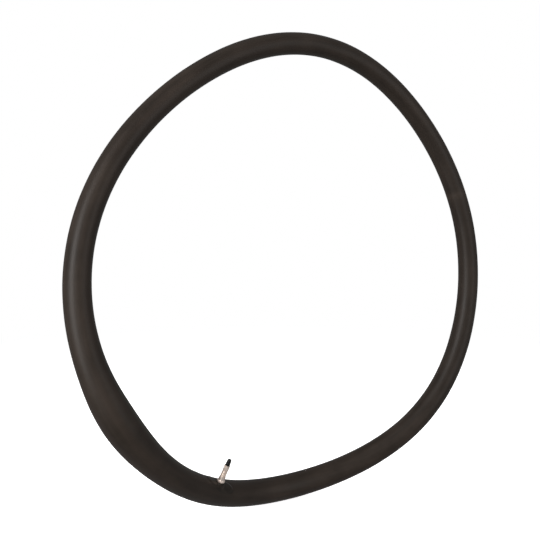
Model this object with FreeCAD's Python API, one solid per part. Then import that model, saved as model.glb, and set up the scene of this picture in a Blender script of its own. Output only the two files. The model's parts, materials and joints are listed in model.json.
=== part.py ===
"""Inflated bicycle inner tube, 28 inch, with an 8 mm valve whose core a union nut holds in.

Frame, in millimetres: the origin is the wheel's axis in the ring's middle plane, +Y runs along
that axis and +Z is up. The ring's angle is counted from +X towards +Z. The valve is built along
its own axis, with height 0 on the rubber's surface, and then set in its place.
"""
import FreeCAD, Part
import math
import os

os.makedirs("parts", exist_ok=True)
Vector = FreeCAD.Vector

# Centre line of the ring: a circle with the slow waves of a tube inflated off the wheel.
# Each wave is its number of lobes, its height and the angle of its first crest.
RING_RADIUS = 325.0
OVAL = (2, 3.5, 60.0)
THREE_LOBES = (3, 5.2, 72.0)
FOUR_LOBES = (4, 2.6, 79.0)
SIDE_SADDLE = (2, 19.4, 94.0)
SIDE_THREE = (3, 13.4, 31.0)
SIDE_FOUR = (4, 5.4, 82.0)
SIDE_FIVE = (5, 2.7, 53.0)

# Round section: thinnest at the upper right, with one fat place at the lower left.
SECTION_RADIUS = 15.1
SWELL, SWELL_AT, SWELL_WIDTH = 4.1, 241.0, 87.0
BULGE, BULGE_AT, BULGE_WIDTH = 5.0, 210.0, 13.0
WALL = 0.7

# Surface net of the rubber: poles along the ring and around the section.
POLES_ALONG = 120
POLES_AROUND = 12

# Where the valve stands, and how it leans.
VALVE_AT = 245.0
VALVE_ROLL = 36.0
VALVE_AXIS = Vector(0.23, -0.33, 0.915).normalize()

# Moulded pad around the valve's foot.
PAD_LENGTH, PAD_WIDTH, PAD_THICKNESS = 58.0, 23.0, 1.0
BOSS_FOOT_RADIUS, BOSS_TOP_RADIUS, BOSS_SUNK, BOSS_TOP = 8.0, 6.0, 2.0, 3.5
AIRWAY_RADIUS = 1.5

# Valve stem: foot flange, plain shank, 8 mm thread, slimmer neck for the union nut, bore.
STEM_BOTTOM, STEM_TOP = 2.4, 24.5
FOOT_RADIUS, FOOT_THICKNESS = 4.5, 0.8
SHANK_RADIUS, SHANK_TOP = 3.55, 12.4
THREAD_RADIUS, THREAD_TOP = 3.85, 21.6
NECK_RADIUS = 3.2
BORE_RADIUS = 2.3
RUNNING = 0.05
RIM_BEVEL = 0.25

# Rim nut: knurled flange, sloped shoulder and sleeve.
NUT_BOTTOM, NUT_TOP = 3.8, 12.0
FLANGE_RADIUS, FLANGE_TOP = 5.7, 6.1
SHOULDER_RADIUS, SHOULDER_TOP = 5.0, 7.1
SLEEVE_RADIUS = 4.5

# Union nut: it screws on the stem's neck, and its lip presses the core's shoulder down.
UNION_RADIUS = 4.05
UNION_BOTTOM, UNION_TOP, LIP_BOTTOM = 22.5, 30.4, 29.2

# Valve core: barrel with a chamber for the ball, shoulder, neck threaded for the cap and pump.
BARREL_RADIUS, BARREL_BOTTOM = 1.95, 15.2
GASKET_RADIUS, GASKET_THICKNESS = 3.0, 0.6
CORE_SHOULDER_RADIUS, CORE_SHOULDER_TOP = 3.1, 29.15
CAP_THREAD_RADIUS, CORE_TOP = 2.6, 36.2
PASSAGE_RADIUS, SEAT_HEIGHT = 0.9, 19.5
CHAMBER_RADIUS, CHAMBER_BOTTOM = 1.45, 16.0
INLET_RADIUS = 0.8

# Ball that shuts the core when the tube's air pushes it up against the seat.
BALL_RADIUS = 1.3

# Dust cap.
CAP_BOTTOM, CAP_TOP = 30.7, 40.5
CAP_MOUTH_RADIUS, CAP_TIP_RADIUS = 3.2, 2.8
CAP_HOLLOW_RADIUS, CAP_HOLLOW_TOP = 2.15, 38.8
CAP_THREAD_TOP = 36.5
CAP_NOSE_RADIUS = 1.9


def waves(angle, *shapes):
    """Sum of cosine waves at an angle in degrees."""
    return sum(size * math.cos(math.radians(lobes * (angle - at))) for lobes, size, at in shapes)


def hump(angle, at, width):
    away = (angle - at + 180.0) % 360.0 - 180.0
    return math.exp(-(away / width) ** 2)


def centre(angle):
    """Point of the ring's centre line at an angle in degrees."""
    radius = RING_RADIUS + waves(angle, OVAL, THREE_LOBES, FOUR_LOBES)
    aside = waves(angle, SIDE_SADDLE, SIDE_THREE, SIDE_FOUR, SIDE_FIVE)
    turn = math.radians(angle)
    return Vector(radius * math.cos(turn), aside, radius * math.sin(turn))


def section(angle):
    """Radius of the rubber's outside at an angle."""
    swell = SWELL * hump(angle, SWELL_AT, SWELL_WIDTH)
    bulge = BULGE * hump(angle, BULGE_AT, BULGE_WIDTH)
    return SECTION_RADIUS + swell + bulge


def section_axes(angle):
    """Tangent of the ring, and the section's directions inwards and towards -Y."""
    tangent = (centre(angle + 0.5) - centre(angle - 0.5)).normalize()
    inward = centre(angle) * -1.0
    inward.y = 0.0
    inward = (inward - tangent * inward.dot(tangent)).normalize()
    front = tangent.cross(inward).normalize()
    return tangent, inward, front


def tube_solid(grow):
    """Solid bounded by the rubber's outside, grown by a distance.

    The surface is a cubic net that closes on itself both ways. Such a net draws a circle of
    poles in by a known ratio, so the poles stand out by its inverse.
    """
    around = 3.0 / (2.0 + math.cos(2.0 * math.pi / POLES_AROUND))
    rows = []
    for i in range(POLES_ALONG):
        angle = 360.0 * i / POLES_ALONG
        tangent, inward, front = section_axes(angle)
        radius = (section(angle) + grow) * around
        row = []
        for j in range(POLES_AROUND):
            turn = 2.0 * math.pi * j / POLES_AROUND
            across = inward * math.cos(turn) + front * math.sin(turn)
            row.append(centre(angle) + across * radius)
        rows.append(row)
    surface = Part.BSplineSurface()
    surface.buildFromPolesMultsKnots(
        rows,
        [1] * (POLES_ALONG + 1), [1] * (POLES_AROUND + 1),
        [float(i) for i in range(POLES_ALONG + 1)], [float(j) for j in range(POLES_AROUND + 1)],
        True, True, 3, 3)
    solid = Part.Solid(Part.Shell([surface.toShape()]))
    if solid.Volume < 0.0:
        solid.reverse()
    return solid


def turned(outline):
    """Solid of revolution about the valve's axis from (radius, height) points."""
    points = [Vector(radius, 0.0, height) for radius, height in outline]
    face = Part.Face(Part.makePolygon(points + points[:1]))
    return face.revolve(Vector(0, 0, 0), Vector(0, 0, 1), 360.0)


def rod(radius, bottom, top):
    return Part.makeCylinder(radius, top - bottom, Vector(0, 0, bottom))


TANGENT, INWARD, FRONT = section_axes(VALVE_AT)
ROLL = math.radians(VALVE_ROLL)
NORMAL = INWARD * math.cos(ROLL) + FRONT * math.sin(ROLL)
VALVE_FOOT = centre(VALVE_AT) + NORMAL * section(VALVE_AT)
VALVE_PLACE = FreeCAD.Placement(VALVE_FOOT, FreeCAD.Rotation(Vector(0, 0, 1), VALVE_AXIS))


def set_on_valve(solid):
    placed = solid.copy()
    placed.Placement = VALVE_PLACE.multiply(placed.Placement)
    return placed


def make_stem():
    outline = [
        (BORE_RADIUS, STEM_BOTTOM),
        (FOOT_RADIUS, STEM_BOTTOM),
        (FOOT_RADIUS, STEM_BOTTOM + FOOT_THICKNESS),
        (SHANK_RADIUS, STEM_BOTTOM + FOOT_THICKNESS),
        (SHANK_RADIUS, SHANK_TOP),
        (THREAD_RADIUS, SHANK_TOP),
        (THREAD_RADIUS, THREAD_TOP),
        (NECK_RADIUS, THREAD_TOP),
        (NECK_RADIUS, STEM_TOP),
        (BORE_RADIUS, STEM_TOP),
    ]
    return turned(outline)


def make_tube():
    tube = tube_solid(0.0).cut(tube_solid(-WALL))
    airway = set_on_valve(rod(AIRWAY_RADIUS, -8.0, STEM_BOTTOM))
    return tube.cut(airway)


def make_valve_patch():
    """Oval pad that hugs the tube, with a boss that grips the stem's foot."""
    ellipse = Part.Ellipse(Vector(0, 0, 0), PAD_LENGTH / 2.0, PAD_WIDTH / 2.0)
    punch = Part.Face(Part.Wire([ellipse.toShape()])).extrude(Vector(0, 0, 2.0 * SECTION_RADIUS))
    along = FreeCAD.Rotation(TANGENT, NORMAL.cross(TANGENT), NORMAL, "ZXY")
    punch.Placement = FreeCAD.Placement(centre(VALVE_AT), along)
    pad = tube_solid(PAD_THICKNESS).common(punch)
    height = BOSS_TOP + BOSS_SUNK
    boss = Part.makeCone(BOSS_FOOT_RADIUS, BOSS_TOP_RADIUS, height, Vector(0, 0, -BOSS_SUNK))
    pad = pad.fuse(set_on_valve(boss)).cut(tube_solid(0.0))
    pad = pad.cut(set_on_valve(rod(AIRWAY_RADIUS, -8.0, STEM_BOTTOM + 0.1)))
    pad = pad.cut(set_on_valve(rod(SHANK_RADIUS, STEM_BOTTOM, STEM_TOP)))
    return pad.cut(set_on_valve(rod(FOOT_RADIUS, STEM_BOTTOM, STEM_BOTTOM + FOOT_THICKNESS)))


def make_rim_nut():
    outline = [
        (THREAD_RADIUS + RUNNING, NUT_BOTTOM),
        (FLANGE_RADIUS - RIM_BEVEL, NUT_BOTTOM),
        (FLANGE_RADIUS, NUT_BOTTOM + RIM_BEVEL),
        (FLANGE_RADIUS, FLANGE_TOP - RIM_BEVEL),
        (FLANGE_RADIUS - RIM_BEVEL, FLANGE_TOP),
        (SHOULDER_RADIUS, FLANGE_TOP),
        (SLEEVE_RADIUS, SHOULDER_TOP),
        (SLEEVE_RADIUS, NUT_TOP - RIM_BEVEL),
        (SLEEVE_RADIUS - RIM_BEVEL, NUT_TOP),
        (THREAD_RADIUS + RUNNING, NUT_TOP),
    ]
    return turned(outline)


def make_union_nut():
    outline = [
        (NECK_RADIUS + RUNNING, UNION_BOTTOM),
        (UNION_RADIUS - RIM_BEVEL, UNION_BOTTOM),
        (UNION_RADIUS, UNION_BOTTOM + RIM_BEVEL),
        (UNION_RADIUS, UNION_TOP - RIM_BEVEL),
        (UNION_RADIUS - RIM_BEVEL, UNION_TOP),
        (CAP_THREAD_RADIUS + RUNNING, UNION_TOP),
        (CAP_THREAD_RADIUS + RUNNING, LIP_BOTTOM),
        (NECK_RADIUS + RUNNING, LIP_BOTTOM),
    ]
    return turned(outline)


def make_core_body():
    shoulder_bottom = STEM_TOP + GASKET_THICKNESS
    outline = [
        (INLET_RADIUS, BARREL_BOTTOM),
        (BARREL_RADIUS, BARREL_BOTTOM),
        (BARREL_RADIUS, shoulder_bottom),
        (CORE_SHOULDER_RADIUS, shoulder_bottom),
        (CORE_SHOULDER_RADIUS, CORE_SHOULDER_TOP),
        (CAP_THREAD_RADIUS, CORE_SHOULDER_TOP),
        (CAP_THREAD_RADIUS, CORE_TOP - RIM_BEVEL),
        (CAP_THREAD_RADIUS - RIM_BEVEL, CORE_TOP),
        (PASSAGE_RADIUS, CORE_TOP),
        (PASSAGE_RADIUS, SEAT_HEIGHT),
        (CHAMBER_RADIUS, SEAT_HEIGHT),
        (CHAMBER_RADIUS, CHAMBER_BOTTOM),
        (INLET_RADIUS, CHAMBER_BOTTOM),
    ]
    return turned(outline)


def make_core_gasket():
    ring = rod(GASKET_RADIUS, STEM_TOP, STEM_TOP + GASKET_THICKNESS)
    return ring.cut(rod(BARREL_RADIUS, STEM_TOP - 1.0, STEM_TOP + 1.0))


def make_check_ball():
    """Ball just short of the edge of its seat."""
    below = math.sqrt(BALL_RADIUS ** 2 - PASSAGE_RADIUS ** 2) + RUNNING
    return Part.makeSphere(BALL_RADIUS, Vector(0, 0, SEAT_HEIGHT - below))


def make_dust_cap():
    outline = [
        (0.0, CAP_BOTTOM),
        (CAP_MOUTH_RADIUS, CAP_BOTTOM),
        (CAP_TIP_RADIUS, CAP_TOP),
        (0.0, CAP_TOP),
    ]
    cap = turned(outline)
    rim = [edge for edge in cap.Edges if abs(edge.BoundBox.ZMin - CAP_TOP) < 0.01]
    cap = cap.makeFillet(CAP_NOSE_RADIUS, rim[:1])
    cap = cap.cut(rod(CAP_THREAD_RADIUS + RUNNING, CAP_BOTTOM - 1.0, CAP_THREAD_TOP))
    return cap.cut(rod(CAP_HOLLOW_RADIUS, CAP_BOTTOM, CAP_HOLLOW_TOP))


nodes = {
    "tube": make_tube(),
    "valve_patch": make_valve_patch(),
    "valve_stem": set_on_valve(make_stem()),
    "rim_nut": set_on_valve(make_rim_nut()),
    "union_nut": set_on_valve(make_union_nut()),
    "core_body": set_on_valve(make_core_body()),
    "core_gasket": set_on_valve(make_core_gasket()),
    "check_ball": set_on_valve(make_check_ball()),
    "dust_cap": set_on_valve(make_dust_cap()),
}
for name, solid in nodes.items():
    solid.exportStep("parts/" + name + ".step")
    box = solid.BoundBox
    print(name, solid.isValid(), len(solid.Solids), round(solid.Volume, 1),
          [round(v, 1) for v in (box.XMin, box.YMin, box.ZMin, box.XMax, box.YMax, box.ZMax)])
print("valve foot", [round(v, 2) for v in VALVE_FOOT], "axis", [round(v, 4) for v in VALVE_AXIS])
print("lean from the rubber's normal", round(math.degrees(NORMAL.getAngle(VALVE_AXIS)), 1))
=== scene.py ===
"""Inflated bicycle inner tube with an 8 mm valve: the visual model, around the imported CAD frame."""
import json
import math

import bmesh
import bpy
import numpy as np
from mathutils import Matrix, Vector
from mathutils.bvhtree import BVHTree


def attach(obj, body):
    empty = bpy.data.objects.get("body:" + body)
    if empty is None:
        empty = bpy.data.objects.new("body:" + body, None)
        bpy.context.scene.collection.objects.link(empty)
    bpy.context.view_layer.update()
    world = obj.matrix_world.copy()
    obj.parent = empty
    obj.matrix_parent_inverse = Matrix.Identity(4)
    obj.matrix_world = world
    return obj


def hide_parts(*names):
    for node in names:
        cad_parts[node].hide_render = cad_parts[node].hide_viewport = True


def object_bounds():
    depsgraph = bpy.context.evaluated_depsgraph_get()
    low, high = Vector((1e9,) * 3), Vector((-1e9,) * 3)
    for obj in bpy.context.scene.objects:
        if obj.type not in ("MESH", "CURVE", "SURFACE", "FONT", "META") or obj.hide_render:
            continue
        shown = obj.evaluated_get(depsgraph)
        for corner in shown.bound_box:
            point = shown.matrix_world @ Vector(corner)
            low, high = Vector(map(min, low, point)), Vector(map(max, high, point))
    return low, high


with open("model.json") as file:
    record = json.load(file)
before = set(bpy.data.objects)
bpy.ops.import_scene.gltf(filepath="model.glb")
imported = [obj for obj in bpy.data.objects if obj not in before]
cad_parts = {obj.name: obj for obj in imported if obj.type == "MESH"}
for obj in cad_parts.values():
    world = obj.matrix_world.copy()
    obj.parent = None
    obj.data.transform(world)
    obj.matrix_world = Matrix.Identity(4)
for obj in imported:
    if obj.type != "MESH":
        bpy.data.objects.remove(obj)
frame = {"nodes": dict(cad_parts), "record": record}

CAD_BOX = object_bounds()

# ---------------------------------------------------------------------------------------------
# The ring: butyl rubber, extruded as a hose, cut to length, joined end to end and cured in a
# mould. Blown up off the wheel it waves a little and is fattest at the lower left. A faint line
# runs round it inside and outside where the mould halves met, and a low weal crosses the joint.
# ---------------------------------------------------------------------------------------------
MM = 0.001
MATH, VECTOR = "ShaderNodeMath", "ShaderNodeVectorMath"

# Each wave of the centre line: its direction, its lobes, its height in mm, its crest in degrees.
RING_WAVES = {
    "Oval": ("outwards", 2, 3.5, 60.0),
    "Three lobes": ("outwards", 3, 5.2, 72.0),
    "Four lobes": ("outwards", 4, 2.6, 79.0),
    "Side saddle": ("aside", 2, 19.4, 94.0),
    "Side three": ("aside", 3, 13.4, 31.0),
    "Side four": ("aside", 4, 5.4, 82.0),
    "Side five": ("aside", 5, 2.7, 53.0),
}
# Each fat stretch of the section: its height in mm, its middle and its half-width in degrees.
RING_HUMPS = {"Swell": (4.1, 241.0, 87.0), "Bulge": (5.0, 210.0, 13.0)}
RING_SIZES = {
    "Ring radius": 325.0 * MM,
    "Section radius": 15.1 * MM,
    "Points along": 900,
    "Points around": 72,
    "Joint angle": math.radians(22.0),
    "Joint crowding": 0.8,
    "Joint height": 0.1 * MM,
    "Joint half-width": 0.9 * MM,
    "Mould line height": 0.12 * MM,
    "Unevenness": 0.5 * MM,
    "Unevenness length": 75.0 * MM,
}
for wave, (way, lobes, height, crest) in RING_WAVES.items():
    RING_SIZES[wave + " lobes"] = float(lobes)
    RING_SIZES[wave + " height"] = height * MM
    RING_SIZES[wave + " crest"] = math.radians(crest)
for hump, (height, crest, width) in RING_HUMPS.items():
    RING_SIZES[hump + " height"] = height * MM
    RING_SIZES[hump + " crest"] = math.radians(crest)
    RING_SIZES[hump + " width"] = math.radians(width)


def linear(code):
    """An sRGB hex colour as linear RGBA."""
    shares = [int(code[i:i + 2], 16) / 255.0 for i in (1, 3, 5)]
    return [c / 12.92 if c <= 0.04045 else ((c + 0.055) / 1.055) ** 2.4 for c in shares] + [1.0]


def add(tree, kind, *links, **settings):
    """Adds a node with its settings. Links fill its inputs in order, or by name as (name, source)."""
    node = tree.nodes.new(kind)
    for key, value in settings.items():
        setattr(node, key, value)
    for place, link in enumerate(links):
        named = isinstance(link, tuple) and isinstance(link[0], str)
        key, source = link if named else (place, link)
        if isinstance(source, bpy.types.Node):
            source = source.outputs[0]
        if isinstance(source, bpy.types.NodeSocket):
            tree.links.new(source, node.inputs[key])
        elif source is not None:
            node.inputs[key].default_value = source
    return node


def new_tree(name, sizes):
    """A Geometry Nodes tree with a named input for each size, and those inputs' sockets."""
    tree = bpy.data.node_groups.new(name, "GeometryNodeTree")
    tree.interface.new_socket("Geometry", in_out="OUTPUT", socket_type="NodeSocketGeometry")
    tree.interface.new_socket("Geometry", in_out="INPUT", socket_type="NodeSocketGeometry")
    for label, value in sizes.items():
        kind = "NodeSocketInt" if isinstance(value, int) else "NodeSocketFloat"
        tree.interface.new_socket(label, in_out="INPUT", socket_type=kind)
    return tree, tree.nodes.new("NodeGroupInput").outputs


def bake(name, mesh, tree, sizes):
    """Runs a tree on a mesh with these sizes and returns the plain result as a new object."""
    start = bpy.data.objects.new(name + "_start", mesh)
    bpy.context.scene.collection.objects.link(start)
    modifier = start.modifiers.new("shape", "NODES")
    modifier.node_group = tree
    for item in tree.interface.items_tree:
        if item.in_out == "INPUT" and item.name in sizes:
            modifier[item.identifier] = sizes[item.name]
    graph = bpy.context.evaluated_depsgraph_get()
    plain = bpy.data.meshes.new_from_object(start.evaluated_get(graph), depsgraph=graph)
    bpy.data.objects.remove(start)
    piece = bpy.data.objects.new(name, plain)
    bpy.context.scene.collection.objects.link(piece)
    return piece


def new_finish(name, **sockets):
    """A material, its tree and its Principled shader, with the shader's plain sockets set."""
    finish = bpy.data.materials.new(name)
    finish.use_nodes = True
    shader = finish.node_tree.nodes["Principled BSDF"]
    for socket, value in sockets.items():
        shader.inputs[socket.replace("_", " ")].default_value = value
    return finish, finish.node_tree, shader


# Cured butyl rubber, wiped with talc: a soft grey-black sheen. The talc lies in long faint
# streaks along the hose and in cloudy patches, and is rubbed off beside the joint.
RUBBER_DARK, RUBBER_DUSTY, RUBBER_BUFFED = "#1c1713", "#2b241f", "#2b241f"
STREAK_WIDTH, STREAK_LENGTH = 7.0 * MM, 90.0 * MM
CLOUD_SIZE, SPECK_SIZE = 45.0 * MM, 1.6 * MM  # real talc specks are finer; these still show
butyl_rubber, shade, shader = new_finish("cured butyl rubber", IOR=1.52, Specular_IOR_Level=0.15)
skin = add(shade, "ShaderNodeAttribute", attribute_name="skin")
skin_place = skin.outputs["Vector"]
joint_band = add(shade, "ShaderNodeAttribute", attribute_name="joint")
streak_place = add(shade, "ShaderNodeMapping", ("Vector", skin_place),
                   ("Scale", (1.0, 1.0, STREAK_WIDTH / STREAK_LENGTH)))
streaks = add(shade, "ShaderNodeTexNoise", ("Vector", streak_place),
              ("Scale", 1.0 / STREAK_WIDTH), ("Detail", 3.0), ("Roughness", 0.55))
clouds = add(shade, "ShaderNodeTexNoise", ("Vector", skin_place),
             ("Scale", 1.0 / CLOUD_SIZE), ("Detail", 5.0), ("Roughness", 0.6))
specks = add(shade, "ShaderNodeTexNoise", ("Vector", skin_place),
             ("Scale", 1.0 / SPECK_SIZE), ("Detail", 2.0), ("Roughness", 0.6))
talc = add(shade, MATH, streaks, 0.5, operation="MULTIPLY")
talc = add(shade, MATH, clouds, 0.5, talc, operation="MULTIPLY_ADD")
talc = add(shade, "ShaderNodeMapRange", talc, 0.36, 0.66, 0.0, 0.8)
talc = add(shade, MATH, specks, 0.12, talc, operation="MULTIPLY_ADD")
dusted = add(shade, "ShaderNodeMix", ("Factor", talc), data_type="RGBA")
dusted.inputs[6].default_value = linear(RUBBER_DARK)
dusted.inputs[7].default_value = linear(RUBBER_DUSTY)
buffed = add(shade, "ShaderNodeMix", ("Factor", joint_band.outputs["Fac"]), data_type="RGBA")
shade.links.new(dusted.outputs[2], buffed.inputs[6])
buffed.inputs[7].default_value = linear(RUBBER_BUFFED)
shade.links.new(buffed.outputs[2], shader.inputs["Base Color"])
dullness = add(shade, "ShaderNodeMapRange", talc, 0.0, 1.0, 0.42, 0.54)
shade.links.new(dullness.outputs[0], shader.inputs["Roughness"])
grain = add(shade, MATH, specks, 0.5, streaks, operation="MULTIPLY_ADD")
bump = add(shade, "ShaderNodeBump", ("Height", grain), ("Strength", 0.15), ("Distance", 0.05 * MM))
shade.links.new(bump.outputs[0], shader.inputs["Normal"])

# The hose follows its waved centre line. Points crowd together at the joint, to draw its weal.
ring_tree, size = new_tree("inflated ring", RING_SIZES)
index = add(ring_tree, "GeometryNodeInputIndex")
share = add(ring_tree, MATH, index, size["Points along"], operation="DIVIDE")
turn = add(ring_tree, MATH, share, math.tau, operation="MULTIPLY")
swing = add(ring_tree, MATH, turn, operation="SINE")
crowd = add(ring_tree, MATH, swing, size["Joint crowding"], operation="MULTIPLY")
from_joint = add(ring_tree, MATH, turn, crowd, operation="SUBTRACT")
angle = add(ring_tree, MATH, from_joint, size["Joint angle"], operation="ADD")
reach = {"outwards": size["Ring radius"], "aside": 0.0}
for wave, (way, lobes, height, crest) in RING_WAVES.items():
    away = add(ring_tree, MATH, angle, size[wave + " crest"], operation="SUBTRACT")
    phase = add(ring_tree, MATH, away, size[wave + " lobes"], operation="MULTIPLY")
    swell = add(ring_tree, MATH, phase, operation="COSINE")
    reach[way] = add(ring_tree, MATH, swell, size[wave + " height"], reach[way],
                     operation="MULTIPLY_ADD")
section = size["Section radius"]
for hump in RING_HUMPS:
    away = add(ring_tree, MATH, angle, size[hump + " crest"], operation="SUBTRACT")
    wrapped = add(ring_tree, MATH, away, math.pi, -math.pi, operation="WRAP")
    widths = add(ring_tree, MATH, wrapped, size[hump + " width"], operation="DIVIDE")
    square = add(ring_tree, MATH, widths, widths, operation="MULTIPLY")
    fall = add(ring_tree, MATH, square, -1.0, operation="MULTIPLY")
    rise = add(ring_tree, MATH, fall, operation="EXPONENT")
    section = add(ring_tree, MATH, rise, size[hump + " height"], section, operation="MULTIPLY_ADD")
joint_arc = add(ring_tree, MATH, from_joint, math.pi, -math.pi, operation="WRAP")
joint_arc = add(ring_tree, MATH, joint_arc, size["Ring radius"], operation="MULTIPLY")

cosine = add(ring_tree, MATH, angle, operation="COSINE")
sine = add(ring_tree, MATH, angle, operation="SINE")
across = add(ring_tree, MATH, cosine, reach["outwards"], operation="MULTIPLY")
up = add(ring_tree, MATH, sine, reach["outwards"], operation="MULTIPLY")
place = add(ring_tree, "ShaderNodeCombineXYZ", across, reach["aside"], up)
line = add(ring_tree, "GeometryNodeCurvePrimitiveCircle",
           ("Resolution", size["Points along"]), ("Radius", size["Ring radius"]))
line = add(ring_tree, "GeometryNodeSetPosition", line, ("Position", place))
position = add(ring_tree, "GeometryNodeInputPosition")
inwards = add(ring_tree, VECTOR, position, (-1.0, 0.0, -1.0), operation="MULTIPLY")
tangent = add(ring_tree, "GeometryNodeInputTangent")
lean = add(ring_tree, VECTOR, inwards, tangent, operation="DOT_PRODUCT")
leaned = add(ring_tree, VECTOR, tangent, ("Scale", lean.outputs["Value"]), operation="SCALE")
square_on = add(ring_tree, VECTOR, inwards, leaned, operation="SUBTRACT")
square_on = add(ring_tree, VECTOR, square_on, operation="NORMALIZE")
line = add(ring_tree, "GeometryNodeSetCurveNormal", line, ("Normal", square_on), mode="FREE")
spline = add(ring_tree, "GeometryNodeSplineParameter")
line = add(ring_tree, "GeometryNodeStoreNamedAttribute", line, ("Name", "along"),
           ("Value", spline.outputs["Length"]), data_type="FLOAT", domain="POINT")
line = add(ring_tree, "GeometryNodeStoreNamedAttribute", line, ("Name", "joint arc"),
           ("Value", joint_arc), data_type="FLOAT", domain="POINT")
rim = add(ring_tree, "GeometryNodeCurvePrimitiveCircle",
          ("Resolution", size["Points around"]), ("Radius", 1.0))
rim = add(ring_tree, "GeometryNodeStoreNamedAttribute", rim, ("Name", "around"),
          ("Value", position), data_type="FLOAT_VECTOR", domain="POINT")
hose = add(ring_tree, "GeometryNodeCurveToMesh", line, rim, ("Scale", section))

around = add(ring_tree, "GeometryNodeInputNamedAttribute", ("Name", "around"),
             data_type="FLOAT_VECTOR")
along = add(ring_tree, "GeometryNodeInputNamedAttribute", ("Name", "along"), data_type="FLOAT")
joint_arc = add(ring_tree, "GeometryNodeInputNamedAttribute", ("Name", "joint arc"),
                data_type="FLOAT")
round_place = add(ring_tree, VECTOR, around, ("Scale", size["Section radius"]), operation="SCALE")
long_place = add(ring_tree, "ShaderNodeCombineXYZ", 0.0, 0.0, along)
skin_vector = add(ring_tree, VECTOR, round_place, long_place, operation="ADD")
hose = add(ring_tree, "GeometryNodeStoreNamedAttribute", hose, ("Name", "skin"),
           ("Value", skin_vector), data_type="FLOAT_VECTOR", domain="POINT")

# Lines left by the mould, the weal of the joint, and the slight unevenness of the wall.
part_way = add(ring_tree, "ShaderNodeSeparateXYZ", around)
facing = add(ring_tree, MATH, part_way, operation="ABSOLUTE")
mould_line = add(ring_tree, MATH, facing, 160.0, operation="POWER")
raised = add(ring_tree, MATH, mould_line, size["Mould line height"], operation="MULTIPLY")
widths = add(ring_tree, MATH, joint_arc, size["Joint half-width"], operation="DIVIDE")
square = add(ring_tree, MATH, widths, widths, operation="MULTIPLY")
fall = add(ring_tree, MATH, square, -1.0, operation="MULTIPLY")
weal = add(ring_tree, MATH, fall, operation="EXPONENT")
raised = add(ring_tree, MATH, weal, size["Joint height"], raised, operation="MULTIPLY_ADD")
fine = add(ring_tree, MATH, 1.0, size["Unevenness length"], operation="DIVIDE")
uneven = add(ring_tree, "ShaderNodeTexNoise", ("Vector", position), ("Scale", fine),
             ("Detail", 1.0))
centred = add(ring_tree, MATH, uneven, 0.5, operation="SUBTRACT")
raised = add(ring_tree, MATH, centred, size["Unevenness"], raised, operation="MULTIPLY_ADD")
facing_out = add(ring_tree, "GeometryNodeInputNormal")
shift = add(ring_tree, VECTOR, facing_out, ("Scale", raised), operation="SCALE")
hose = add(ring_tree, "GeometryNodeSetPosition", hose, ("Offset", shift))
rubbed = add(ring_tree, MATH, widths, 0.14, operation="MULTIPLY")
square = add(ring_tree, MATH, rubbed, rubbed, operation="MULTIPLY")
fall = add(ring_tree, MATH, square, -1.0, operation="MULTIPLY")
rubbed = add(ring_tree, MATH, fall, operation="EXPONENT")
hose = add(ring_tree, "GeometryNodeStoreNamedAttribute", hose, ("Name", "joint"),
           ("Value", rubbed), data_type="FLOAT", domain="POINT")
hose = add(ring_tree, "GeometryNodeSetShadeSmooth", hose)
hose = add(ring_tree, "GeometryNodeRealizeInstances", hose)
hose = add(ring_tree, "GeometryNodeSetMaterial", hose, ("Material", butyl_rubber))
add(ring_tree, "NodeGroupOutput", hose)

ring = bake("rubber_ring", bpy.data.meshes.new("rubber_ring_start"), ring_tree, RING_SIZES)
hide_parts("tube")
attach(ring, "ring")

# ---------------------------------------------------------------------------------------------
# The valve's pad: an oval of the same rubber, moulded round the valve's foot and cured on to the
# ring. Its edge is feathered, and a round boss rises from it along the leaning valve.
# ---------------------------------------------------------------------------------------------
VALVE_MOUNT = next(m for m in frame["record"]["mounts"] if m["name"] == "valve_stem")
MOUNT_HEIGHT = 17.0 * MM  # from the rubber's surface to the middle of the stem's thread
VALVE_AXIS = Vector(VALVE_MOUNT["axis"]).normalized()
VALVE_FOOT = Vector(VALVE_MOUNT["pos_m"]) - VALVE_AXIS * MOUNT_HEIGHT
VALVE_TURN = Vector((0.0, 0.0, 1.0)).rotation_difference(VALVE_AXIS).to_matrix().to_4x4()
VALVE = Matrix.Translation(VALVE_FOOT) @ VALVE_TURN

PAD_LENGTH, PAD_WIDTH, PAD_THICKNESS, PAD_SUNK = 58.0 * MM, 23.0 * MM, 1.0 * MM, 0.4 * MM
PAD_FEATHER, PAD_EDGE = 6.5 * MM, 0.06 * MM
BOSS_HOLE, BOSS_TOP_RADIUS, BOSS_FOOT_RADIUS, BOSS_HEIGHT = 3.58 * MM, 5.8 * MM, 7.3 * MM, 3.5 * MM
PAD_RINGS, PAD_SPOKES = 90, 144
RING_CROWDING = 1.3  # the pad's rings crowd towards the boss
ABOVE_PAD, ABOVE_VALVE = 30.0 * MM, 40.0 * MM


def ease(share):
    """A smooth step from 0 to 1."""
    share = min(max(share, 0.0), 1.0)
    return share * share * (3.0 - 2.0 * share)


ring_skin = BVHTree.FromPolygons([v.co for v in ring.data.vertices],
                                 [p.vertices for p in ring.data.polygons])
foot_normal = ring_skin.find_nearest(VALVE_FOOT)[1]
if foot_normal.dot(VALVE_AXIS) < 0.0:
    foot_normal.negate()
# Along the ring at the foot: square to the normal and to the way towards the wheel's axis.
pad_along = foot_normal.cross(VALVE_FOOT.cross(Vector((0.0, 1.0, 0.0))).cross(foot_normal))
pad_along = (pad_along - foot_normal * pad_along.dot(foot_normal)).normalized()
pad_across = foot_normal.cross(pad_along)

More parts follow.
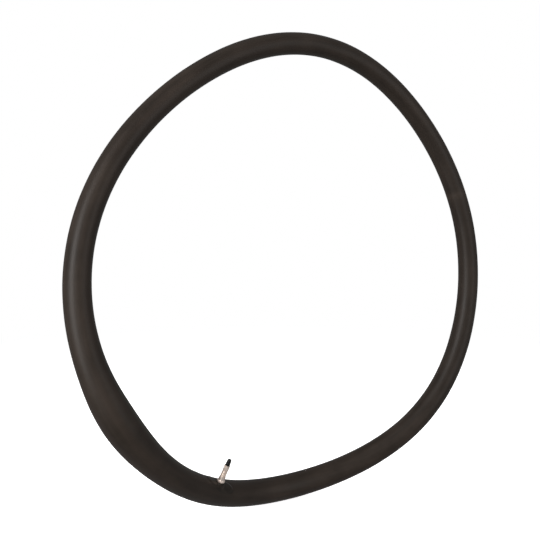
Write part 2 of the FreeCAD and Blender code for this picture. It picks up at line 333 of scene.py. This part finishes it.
pad_mesh = bmesh.new()
pad_place = pad_mesh.verts.layers.float_vector.new("skin")
loops = []
own = VALVE.inverted()
for k in range(PAD_SPOKES):
    turn_angle = math.tau * k / PAD_SPOKES
    edge = (pad_along * math.cos(turn_angle) * PAD_LENGTH / 2.0
            + pad_across * math.sin(turn_angle) * PAD_WIDTH / 2.0)
    above = VALVE_FOOT + edge + foot_normal * ABOVE_PAD
    rim_point = own @ ring_skin.ray_cast(above, -foot_normal)[0]
    way_out = Vector((rim_point.x, rim_point.y))
    hole_point = way_out.normalized() * BOSS_HOLE
    spoke_up, spoke_down = [], []
    for i in range(PAD_RINGS + 1):
        share_out = (i / PAD_RINGS) ** RING_CROWDING
        flat = hole_point.lerp(way_out, share_out)
        start = VALVE @ Vector((flat.x, flat.y, ABOVE_VALVE))
        hit, normal = ring_skin.ray_cast(start, -VALVE_AXIS)[:2]
        if normal.dot(VALVE_AXIS) < 0.0:
            normal.negate()
        to_edge = (way_out - flat).length
        thick = PAD_EDGE + (PAD_THICKNESS - PAD_EDGE) * ease(to_edge / PAD_FEATHER)
        top = hit + normal * thick
        height = (own @ top).z
        lift = (BOSS_HEIGHT - height) * (1.0 - ease((flat.length - BOSS_TOP_RADIUS)
                                                    / (BOSS_FOOT_RADIUS - BOSS_TOP_RADIUS)))
        top += VALVE_AXIS * lift
        spoke_up.append(pad_mesh.verts.new(top))
        spoke_down.append(pad_mesh.verts.new(hit - normal * PAD_SUNK))
    loops.append(spoke_up + spoke_down[::-1])
for k in range(PAD_SPOKES):
    one, two = loops[k - 1], loops[k]
    for i in range(len(one)):
        j = (i + 1) % len(one)
        pad_mesh.faces.new((one[i], two[i], two[j], one[j]))
bmesh.ops.recalc_face_normals(pad_mesh, faces=pad_mesh.faces)
for vertex in pad_mesh.verts:
    vertex[pad_place] = vertex.co
pad_data = bpy.data.meshes.new("valve_pad")
pad_mesh.to_mesh(pad_data)
pad_mesh.free()
pad_data.shade_smooth()
pad_data.set_sharp_from_angle(angle=math.radians(40.0))
pad = bpy.data.objects.new("valve_pad", pad_data)
bpy.context.scene.collection.objects.link(pad)

# Moulded rubber: blacker and a little shinier than the hose, from the polished mould.
MOULDED_DARK, MOULDED_DUSTY = "#1a1612", "#28221d"
PAD_GRAIN = 1.2 * MM  # coarser than the real mould's grain, so that it shows
moulded_rubber, shade, shader = new_finish("moulded rubber", IOR=1.52, Specular_IOR_Level=0.15)
where = add(shade, "ShaderNodeTexCoord").outputs["Object"]
dust = add(shade, "ShaderNodeTexNoise", ("Vector", where), ("Scale", 1.0 / (9.0 * MM)),
           ("Detail", 4.0))
mould_grain = add(shade, "ShaderNodeTexNoise", ("Vector", where), ("Scale", 1.0 / PAD_GRAIN),
                  ("Detail", 2.0))
tint = add(shade, "ShaderNodeMapRange", dust, 0.4, 0.7, 0.0, 1.0)
mixed = add(shade, "ShaderNodeMix", ("Factor", tint), data_type="RGBA")
mixed.inputs[6].default_value = linear(MOULDED_DARK)
mixed.inputs[7].default_value = linear(MOULDED_DUSTY)
shade.links.new(mixed.outputs[2], shader.inputs["Base Color"])
dullness = add(shade, "ShaderNodeMapRange", dust, 0.3, 0.7, 0.32, 0.46)
shade.links.new(dullness.outputs[0], shader.inputs["Roughness"])
bump = add(shade, "ShaderNodeBump", ("Height", mould_grain), ("Strength", 0.3),
           ("Distance", 0.04 * MM))
shade.links.new(bump.outputs[0], shader.inputs["Normal"])
pad.data.materials.append(moulded_rubber)
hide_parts("valve_patch")
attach(pad, "ring")

# ---------------------------------------------------------------------------------------------
# The valve stem: brass bar, turned and rolled with an 8 mm thread of 0.79 mm pitch, then nickel
# plated. Its flanged foot is cured into the boss, and a slimmer threaded neck takes the union nut.
# ---------------------------------------------------------------------------------------------


def span(node):
    """Lowest and highest point of a CAD node along the valve, and its widest radius, in mm."""
    points = np.array([own @ v.co for v in frame["nodes"][node].data.vertices]) / MM
    radii = np.hypot(points[:, 0], points[:, 1])
    return float(points[:, 2].min()), float(points[:, 2].max()), float(radii.max())


def turned(name, outline, around=96, step=1.0):
    """A closed mesh turned about the valve's axis from (radius, height) points in mm.

    An outline that starts off the axis is a loop; one that starts on it ends on it too.
    """
    is_loop = outline[0][0] > 0.0
    ends = outline + outline[:1] if is_loop else outline
    points = []
    for (r0, h0), (r1, h1) in zip(ends, ends[1:]):
        parts = max(1, math.ceil(math.hypot(r1 - r0, h1 - h0) / step))
        points += [(r0 + (r1 - r0) * k / parts, h0 + (h1 - h0) * k / parts) for k in range(parts)]
    if not is_loop:
        points.append(outline[-1])
    shape = bmesh.new()
    rows = []
    for radius, height in points:
        count = around if radius > 0.0 else 1
        rows.append([shape.verts.new((radius * MM * math.cos(math.tau * k / around),
                                      radius * MM * math.sin(math.tau * k / around),
                                      height * MM)) for k in range(count)])
    pairs = list(zip(rows, rows[1:] + (rows[:1] if is_loop else [])))
    for one, two in pairs:
        for k in range(around):
            j = (k + 1) % around
            corners = [one[k % len(one)], one[j % len(one)], two[j % len(two)], two[k % len(two)]]
            shape.faces.new(list(dict.fromkeys(corners)))
    if shape.calc_volume(signed=True) < 0.0:
        bmesh.ops.reverse_faces(shape, faces=shape.faces)
    mesh = bpy.data.meshes.new(name)
    shape.to_mesh(mesh)
    shape.free()
    own_place = mesh.attributes.new("on valve", "FLOAT_VECTOR", "POINT")
    own_place.data.foreach_set("vector", [c for v in mesh.vertices for c in v.co])
    return mesh


GROOVE_SIZES = {"Grooves around": 0.0, "Grooves per metre": 0.0, "Depth": 0.0, "Flat": 0.3,
                "Radius": 0.0, "Bottom": 0.0, "Top": 0.0, "Run-out": 0.0}


def groove_tree(name, finish):
    """Cuts grooves into a turned surface: a thread, a knurl or ribs, by their count and rise."""
    tree, size = new_tree(name, GROOVE_SIZES)
    place = add(tree, "GeometryNodeInputPosition")
    split = add(tree, "ShaderNodeSeparateXYZ", place)
    turn = add(tree, MATH, split.outputs["Y"], split.outputs["X"], operation="ARCTAN2")
    turns = add(tree, MATH, turn, math.tau, operation="DIVIDE")
    lines = add(tree, MATH, turns, size["Grooves around"], operation="MULTIPLY")
    phase = add(tree, MATH, split.outputs["Z"], size["Grooves per metre"], lines,
                operation="MULTIPLY_ADD")
    saw = add(tree, MATH, phase, 0.5, operation="PINGPONG")
    deep = add(tree, "ShaderNodeMapRange", saw, ("From Min", size["Flat"]), ("From Max", 0.5),
               interpolation_type="SMOOTHSTEP")
    flat_place = add(tree, VECTOR, place, (1.0, 1.0, 0.0), operation="MULTIPLY")
    radius = add(tree, VECTOR, flat_place, operation="LENGTH")
    is_outside = add(tree, MATH, radius.outputs["Value"], size["Radius"], 0.01 * MM,
                     operation="COMPARE")
    low_end = add(tree, MATH, size["Bottom"], size["Run-out"], operation="ADD")
    high_end = add(tree, MATH, size["Top"], size["Run-out"], operation="SUBTRACT")
    from_low = add(tree, "ShaderNodeMapRange", split.outputs["Z"],
                   ("From Min", size["Bottom"]), ("From Max", low_end))
    to_high = add(tree, "ShaderNodeMapRange", split.outputs["Z"],
                  ("From Min", size["Top"]), ("From Max", high_end))
    share = add(tree, MATH, from_low, to_high, operation="MULTIPLY")
    share = add(tree, MATH, share, is_outside, operation="MULTIPLY")
    share = add(tree, MATH, share, deep, operation="MULTIPLY")
    depth = add(tree, MATH, share, size["Depth"], operation="MULTIPLY")
    inwards = add(tree, MATH, depth, -1.0, operation="MULTIPLY")
    outwards = add(tree, VECTOR, flat_place, operation="NORMALIZE")
    shift = add(tree, VECTOR, outwards, ("Scale", inwards), operation="SCALE")
    cut = add(tree, "GeometryNodeSetPosition", size["Geometry"], ("Offset", shift))
    cut = add(tree, "GeometryNodeSetShadeSmooth", cut)
    cut = add(tree, "GeometryNodeRealizeInstances", cut)
    cut = add(tree, "GeometryNodeSetMaterial", cut, ("Material", finish))
    add(tree, "NodeGroupOutput", cut)
    return tree


def seat(piece, node, body, sharp=35.0):
    """Sets a piece built on the valve's own axis in its place, to stand for its CAD node."""
    piece.data.transform(VALVE)
    piece.data.shade_smooth()
    piece.data.set_sharp_from_angle(angle=math.radians(sharp))
    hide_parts(node)
    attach(piece, body)


# Nickel plate on turned brass: a warm silver shine, with fine rings from the turning tool and
# dulled where hands have held it.
NICKEL, NICKEL_DULL = "#f2e4da", "#d0bfb3"
TOOL_RING = 0.12 * MM
nickel_plate, shade, shader = new_finish("nickel plate on turned brass", Metallic=1.0)
on_valve = add(shade, "ShaderNodeAttribute", attribute_name="on valve").outputs["Vector"]
height = add(shade, "ShaderNodeSeparateXYZ", on_valve).outputs["Z"]
ring_height = add(shade, MATH, height, 1.0 / TOOL_RING, operation="MULTIPLY")
tool_rings = add(shade, "ShaderNodeTexNoise", ("W", ring_height), ("Scale", 1.0),
                 noise_dimensions="1D")
tarnish = add(shade, "ShaderNodeTexNoise", ("Vector", on_valve), ("Scale", 1.0 / (2.5 * MM)),
              ("Detail", 3.0))
tint = add(shade, "ShaderNodeMapRange", tarnish, 0.42, 0.72, 0.0, 1.0)
mixed = add(shade, "ShaderNodeMix", ("Factor", tint), data_type="RGBA")
mixed.inputs[6].default_value = linear(NICKEL)
mixed.inputs[7].default_value = linear(NICKEL_DULL)
shade.links.new(mixed.outputs[2], shader.inputs["Base Color"])
dullness = add(shade, "ShaderNodeMapRange", tarnish, 0.3, 0.7, 0.38, 0.52)
shade.links.new(dullness.outputs[0], shader.inputs["Roughness"])
bump = add(shade, "ShaderNodeBump", ("Height", tool_rings), ("Strength", 0.25),
           ("Distance", 0.01 * MM))
shade.links.new(bump.outputs[0], shader.inputs["Normal"])
nickel_cut = groove_tree("grooves in nickel plate", nickel_plate)

STEM_PITCH, STEM_THREAD_DEPTH, NECK_THREAD_DEPTH = 0.79, 0.42, 0.25
SHANK_RADIUS, SHANK_TOP, THREAD_TOP, NECK_RADIUS, STEM_BORE = 3.55, 12.4, 21.6, 3.2, 2.3
FOOT_THICKNESS, THREAD_LEAD, NECK_LEAD = 0.8, 0.1, 0.15
stem_low, stem_high, foot_radius = span("valve_stem")
thread_radius = VALVE_MOUNT["dims"]["r_mm"]
stem_outline = [
    (STEM_BORE, stem_low),
    (foot_radius, stem_low),
    (foot_radius, stem_low + FOOT_THICKNESS),
    (SHANK_RADIUS, stem_low + FOOT_THICKNESS),
    (SHANK_RADIUS, SHANK_TOP),
    (thread_radius, SHANK_TOP + THREAD_LEAD),
    (thread_radius, THREAD_TOP - THREAD_LEAD),
    (NECK_RADIUS, THREAD_TOP),
    (NECK_RADIUS, stem_high - NECK_LEAD),
    (NECK_RADIUS - NECK_LEAD, stem_high),
    (STEM_BORE, stem_high),
]
stem_grooves = dict(GROOVE_SIZES)
stem_grooves.update({
    "Grooves around": -1.0, "Grooves per metre": 1.0 / (STEM_PITCH * MM),
    "Depth": STEM_THREAD_DEPTH * MM, "Flat": 0.12, "Radius": thread_radius * MM,
    "Bottom": SHANK_TOP * MM, "Top": THREAD_TOP * MM, "Run-out": 0.5 * MM})
neck_grooves = dict(stem_grooves)
neck_grooves.update({
    "Depth": NECK_THREAD_DEPTH * MM, "Radius": NECK_RADIUS * MM, "Bottom": THREAD_TOP * MM,
    "Top": stem_high * MM, "Run-out": 0.3 * MM})
stem_mesh = turned("threaded_stem", stem_outline, step=0.1)
long_thread = bake("long_thread", stem_mesh, nickel_cut, stem_grooves)
stem = bake("threaded_stem", long_thread.data, nickel_cut, neck_grooves)
bpy.data.objects.remove(long_thread)
seat(stem, "valve_stem", "ring", sharp=60.0)

# ---------------------------------------------------------------------------------------------
# The rim nut: turned and nickel plated brass. Its wide flange is knurled for the fingers, and a
# sleeve stands up from it. It screws down the stem and holds the valve in the rim.
# ---------------------------------------------------------------------------------------------
nut_low, nut_high, flange_radius = span("rim_nut")
NUT_BORE, NUT_SLEEVE, NUT_SHOULDER, NUT_BEVEL, NUT_LEAD = 3.9, 4.5, 5.0, 0.25, 0.15
FLANGE_HEIGHT, SHOULDER_HEIGHT = 2.3, 1.0
nut_outline = [
    (NUT_BORE, nut_low + NUT_LEAD),
    (NUT_BORE + NUT_LEAD, nut_low),
    (flange_radius - NUT_BEVEL, nut_low),
    (flange_radius, nut_low + NUT_BEVEL),
    (flange_radius, nut_low + FLANGE_HEIGHT - NUT_BEVEL),
    (flange_radius - NUT_BEVEL, nut_low + FLANGE_HEIGHT),
    (NUT_SHOULDER, nut_low + FLANGE_HEIGHT),
    (NUT_SLEEVE, nut_low + FLANGE_HEIGHT + SHOULDER_HEIGHT),
    (NUT_SLEEVE, nut_high - NUT_BEVEL),
    (NUT_SLEEVE - NUT_BEVEL, nut_high),
    (NUT_BORE + NUT_LEAD, nut_high),
    (NUT_BORE, nut_high - NUT_LEAD),
]
nut_grooves = dict(GROOVE_SIZES)
nut_grooves.update({
    "Grooves around": 40.0, "Depth": 0.22 * MM, "Flat": 0.1, "Radius": flange_radius * MM,
    "Bottom": (nut_low + 0.2) * MM, "Top": (nut_low + FLANGE_HEIGHT - 0.2) * MM,
    "Run-out": 0.15 * MM})
nut_mesh = turned("knurled_rim_nut", nut_outline, around=320, step=0.35)
seat(bake("knurled_rim_nut", nut_mesh, nickel_cut, nut_grooves), "rim_nut", "rim_nut",
     sharp=50.0)

# ---------------------------------------------------------------------------------------------
# The valve core: turned and nickel plated brass. Its barrel hangs free in the stem and holds the
# ball, its shoulder rests on the stem's mouth over a thin rubber ring, and the dust cap and the
# pump's hose screw on to the thread at its top.
# ---------------------------------------------------------------------------------------------
core_low, core_high, shoulder_radius = span("core_body")
gasket_high = span("core_gasket")[1]
PASSAGE, BARREL, CAP_THREAD, CORE_BEVEL, BARREL_BEVEL = 0.9, 1.95, 2.6, 0.25, 0.15
SHOULDER_TOP, BALL_SEAT, CHAMBER, CHAMBER_LOW, INLET = 29.15, 19.5, 1.45, 16.0, 0.8
CAP_PITCH, CAP_THREAD_LOW = 0.79, 30.4
core_outline = [
    (INLET, core_low),
    (BARREL - BARREL_BEVEL, core_low),
    (BARREL, core_low + BARREL_BEVEL),
    (BARREL, gasket_high),
    (shoulder_radius, gasket_high),
    (shoulder_radius, SHOULDER_TOP),
    (CAP_THREAD, SHOULDER_TOP),
    (CAP_THREAD, core_high - CORE_BEVEL),
    (CAP_THREAD - CORE_BEVEL, core_high),
    (PASSAGE, core_high),
    (PASSAGE, BALL_SEAT),
    (CHAMBER, BALL_SEAT),
    (CHAMBER, CHAMBER_LOW),
    (INLET, CHAMBER_LOW),
]
core_grooves = dict(GROOVE_SIZES)
core_grooves.update({
    "Grooves around": -1.0, "Grooves per metre": 1.0 / (CAP_PITCH * MM), "Depth": 0.3 * MM,
    "Flat": 0.12, "Radius": CAP_THREAD * MM, "Bottom": CAP_THREAD_LOW * MM,
    "Top": core_high * MM, "Run-out": 0.3 * MM})
core_mesh = turned("turned_core", core_outline, around=128, step=0.1)
seat(bake("turned_core", core_mesh, nickel_cut, core_grooves), "core_body", "core",
     sharp=50.0)

# Seal rubber: small black mouldings with a satin skin.
seal_rubber, shade, shader = new_finish("moulded seal rubber", IOR=1.52)
where = add(shade, "ShaderNodeTexCoord").outputs["Object"]
mottle = add(shade, "ShaderNodeTexNoise", ("Vector", where), ("Scale", 1.0 / (0.6 * MM)))
tint = add(shade, "ShaderNodeMix", ("Factor", mottle), data_type="RGBA")
tint.inputs[6].default_value = linear("#100f0e")
tint.inputs[7].default_value = linear("#1e1c1b")
shade.links.new(tint.outputs[2], shader.inputs["Base Color"])
dullness = add(shade, "ShaderNodeMapRange", mottle, 0.3, 0.7, 0.4, 0.6)
shade.links.new(dullness.outputs[0], shader.inputs["Roughness"])
SEAL_ROUND = 0.12


def seal_ring(name, node, inner, body):
    """A thin rubber ring with rounded edges between an inner radius and its CAD node's own."""
    low, high, outer = span(node)
    bend = SEAL_ROUND
    mesh = turned(name, [
        (inner, low), (outer - bend, low), (outer - bend * 0.3, low + bend * 0.3),
        (outer, low + bend), (outer, high - bend), (outer - bend * 0.3, high - bend * 0.3),
        (outer - bend, high), (inner, high)])
    mesh.materials.append(seal_rubber)
    piece = bpy.data.objects.new(name, mesh)
    bpy.context.scene.collection.objects.link(piece)
    seat(piece, node, body)


seal_ring("core_seal_ring", "core_gasket", BARREL, "core")

# ---------------------------------------------------------------------------------------------
# The check ball: a small rubber ball, loose in the core's chamber. The tube's air pushes it up
# against its seat, and air from the pump pushes it down.
# ---------------------------------------------------------------------------------------------
ball_low, ball_high = span("check_ball")[:2]
BALL_STEPS = 24
ball_radius, ball_middle = (ball_high - ball_low) / 2.0, (ball_high + ball_low) / 2.0
ball_outline = [(0.0, ball_low)]
for k in range(1, BALL_STEPS):
    rise_angle = math.pi * k / BALL_STEPS
    ball_outline.append((ball_radius * math.sin(rise_angle),
                         ball_middle - ball_radius * math.cos(rise_angle)))
ball_outline.append((0.0, ball_high))
ball_mesh = turned("rubber_ball", ball_outline, around=48)
ball_mesh.materials.append(seal_rubber)
ball = bpy.data.objects.new("rubber_ball", ball_mesh)
bpy.context.scene.collection.objects.link(ball)
seat(ball, "check_ball", "ball")

# ---------------------------------------------------------------------------------------------
# The union nut: turned and nickel plated brass with a fine straight knurl. It screws on the stem's
# neck, and its inner lip presses the core's shoulder on to the stem's mouth.
# ---------------------------------------------------------------------------------------------
union_low, union_high, union_radius = span("union_nut")
UNION_BORE, UNION_LIP, UNION_LIP_LOW, UNION_BEVEL = 3.25, 2.65, 29.2, 0.25
union_outline = [
    (UNION_BORE, union_low),
    (union_radius - UNION_BEVEL, union_low),
    (union_radius, union_low + UNION_BEVEL),
    (union_radius, union_high - UNION_BEVEL),
    (union_radius - UNION_BEVEL, union_high),
    (UNION_LIP, union_high),
    (UNION_LIP, UNION_LIP_LOW),
    (UNION_BORE, UNION_LIP_LOW),
]
union_grooves = dict(GROOVE_SIZES)
union_grooves.update({
    "Grooves around": 40.0, "Depth": 0.13 * MM, "Flat": 0.1, "Radius": union_radius * MM,
    "Bottom": (union_low + 0.4) * MM, "Top": (union_high - 0.4) * MM, "Run-out": 0.3 * MM})
union_mesh = turned("knurled_union_nut", union_outline, around=320, step=0.25)
seat(bake("knurled_union_nut", union_mesh, nickel_cut, union_grooves), "union_nut", "union_nut",
     sharp=50.0)

# ---------------------------------------------------------------------------------------------
# The dust cap: black polyethylene, injection moulded, bullet shaped and hollow. Fine ribs run up
# its lower half for grip. It screws on to the core's outer thread.
# ---------------------------------------------------------------------------------------------
CAP_DARK, CAP_WORN = "#060607", "#101011"
black_plastic, shade, shader = new_finish("moulded black polyethylene", IOR=1.5, Specular_IOR_Level=0.25)
on_valve = add(shade, "ShaderNodeAttribute", attribute_name="on valve").outputs["Vector"]
scuffs = add(shade, "ShaderNodeTexNoise", ("Vector", on_valve), ("Scale", 1.0 / (1.8 * MM)),
             ("Detail", 5.0))
tint = add(shade, "ShaderNodeMapRange", scuffs, 0.48, 0.75, 0.0, 1.0)
mixed = add(shade, "ShaderNodeMix", ("Factor", tint), data_type="RGBA")
mixed.inputs[6].default_value = linear(CAP_DARK)
mixed.inputs[7].default_value = linear(CAP_WORN)
shade.links.new(mixed.outputs[2], shader.inputs["Base Color"])
dullness = add(shade, "ShaderNodeMapRange", scuffs, 0.3, 0.7, 0.3, 0.5)
shade.links.new(dullness.outputs[0], shader.inputs["Roughness"])
bump = add(shade, "ShaderNodeBump", ("Height", scuffs), ("Strength", 0.2), ("Distance", 0.02 * MM))
shade.links.new(bump.outputs[0], shader.inputs["Normal"])
plastic_cut = groove_tree("ribs in black plastic", black_plastic)

cap_low, cap_high, cap_radius = span("dust_cap")
CAP_TIP, CAP_NOSE, CAP_BORE, CAP_HOLLOW = 2.8, 1.9, 2.65, 2.15
CAP_STRAIGHT, CAP_BORE_HIGH, CAP_HOLLOW_HIGH = 33.6, 36.5, 38.8
cap_outline = [(0.0, cap_high)]
for k in range(9):
    bend = math.radians(90.0 - 10.0 * k)
    cap_outline.append((CAP_TIP + 0.08 - CAP_NOSE * (1.0 - math.cos(bend)),
                        cap_high - CAP_NOSE * (1.0 - math.sin(bend))))
cap_outline += [
    (cap_radius, CAP_STRAIGHT),
    (cap_radius, cap_low + 0.2),
    (cap_radius - 0.1, cap_low),
    (CAP_BORE, cap_low),
    (CAP_BORE, CAP_BORE_HIGH),
    (CAP_HOLLOW, CAP_BORE_HIGH),
    (CAP_HOLLOW, CAP_HOLLOW_HIGH),
    (0.0, CAP_HOLLOW_HIGH),
]
cap_grooves = dict(GROOVE_SIZES)
cap_grooves.update({
    "Grooves around": 24.0, "Depth": 0.1 * MM, "Flat": 0.12, "Radius": cap_radius * MM,
    "Bottom": (cap_low + 0.2) * MM, "Top": CAP_STRAIGHT * MM, "Run-out": 0.6 * MM})
cap_mesh = turned("ribbed_dust_cap", cap_outline, around=192, step=0.35)
seat(bake("ribbed_dust_cap", cap_mesh, plastic_cut, cap_grooves), "dust_cap", "cap",
     sharp=50.0)

# ---------------------------------------------------------------------------------------------
# The stage: a white floor that fades into a white surround, two tall soft lights either side of
# the camera, and broad soft ones overhead, low in front and behind.
# ---------------------------------------------------------------------------------------------
floor_mesh = bpy.data.meshes.new("floor")
FLOOR_HALF, floor_height = 6.0, CAD_BOX[0][2]
corners = [(-FLOOR_HALF, -FLOOR_HALF), (FLOOR_HALF, -FLOOR_HALF),
           (FLOOR_HALF, FLOOR_HALF), (-FLOOR_HALF, FLOOR_HALF)]
floor_mesh.from_pydata([(x, y, floor_height) for x, y in corners], [], [(0, 1, 2, 3)])
floor = bpy.data.objects.new("floor", floor_mesh)
bpy.context.scene.collection.objects.link(floor)
paper, shade, shader = new_finish("white paper sweep", Roughness=0.9)
shader.inputs["Base Color"].default_value = linear("#f2f2f2")
shader.inputs["Emission Color"].default_value = (1.0, 1.0, 1.0, 1.0)
shader.inputs["Emission Strength"].default_value = 0.82
glow = add(shade, "ShaderNodeEmission", ("Color", (1.0, 1.0, 1.0, 1.0)), ("Strength", 1.0))
from_middle = add(shade, VECTOR, add(shade, "ShaderNodeTexCoord").outputs["Object"],
                  operation="LENGTH").outputs["Value"]
fade = add(shade, "ShaderNodeMapRange", from_middle, 0.6, 1.6, 0.0, 1.0,
           interpolation_type="SMOOTHSTEP")
swept = add(shade, "ShaderNodeMixShader", fade, shader, glow)
shade.links.new(swept.outputs[0], shade.nodes["Material Output"].inputs["Surface"])
floor_mesh.materials.append(paper)
floor.visible_diffuse = floor.visible_glossy = False  # its glow lights nothing from below

world = bpy.data.worlds.new("white surround")
bpy.context.scene.world = world
world.use_nodes = True
surround = world.node_tree
ray = add(surround, "ShaderNodeLightPath").outputs["Is Camera Ray"]
seen = surround.nodes["Background"]
seen.inputs["Color"].default_value = (1.0, 1.0, 1.0, 1.0)
strength = add(surround, "ShaderNodeMapRange", ray, 0.0, 1.0, 0.34, 1.0)
surround.links.new(strength.outputs[0], seen.inputs["Strength"])


def soft_light(name, place, target, width, height, watts, shiny=True):
    """A rectangular soft light at a place, facing a target."""
    lamp = bpy.data.lights.new(name, "AREA")
    lamp.shape, lamp.size, lamp.size_y, lamp.energy = "RECTANGLE", width, height, watts
    light = bpy.data.objects.new(name, lamp)
    light.location = place
    way = Vector(target) - Vector(place)
    light.rotation_euler = way.to_track_quat("-Z", "Y").to_euler()
    light.visible_glossy = shiny
    bpy.context.scene.collection.objects.link(light)


soft_light("left light", (-2.0, -0.8, 0.35), (0.0, 0.0, 0.0), 0.8, 2.2, 70.0)
soft_light("right light", (1.1, -2.1, 0.3), (0.0, 0.0, 0.0), 1.2, 2.0, 15.0)
soft_light("front light", (-1.0, -1.7, -0.05), (0.0, 0.0, -0.1), 1.8, 0.6, 20.0, shiny=False)
soft_light("top light", (-0.2, -0.6, 2.2), (0.0, 0.0, 0.0), 2.2, 2.2, 16.0, shiny=False)
soft_light("back light", (0.5, 2.3, 0.7), (0.0, 0.0, 0.0), 2.0, 2.0, 30.0, shiny=False)

camera_data = bpy.data.cameras.new("camera")
camera_data.lens, camera_data.sensor_width = 53.33, 36.0
camera_data.clip_start = 0.01
camera = bpy.data.objects.new("camera", camera_data)
camera.location = (-0.6275, -0.9604, 0.1300)
camera.rotation_euler = (math.radians(90.0 - 5.89), 0.0, math.radians(-31.14))
bpy.context.scene.collection.objects.link(camera)
bpy.context.scene.camera = camera
bpy.context.scene.view_settings.view_transform = "Standard"
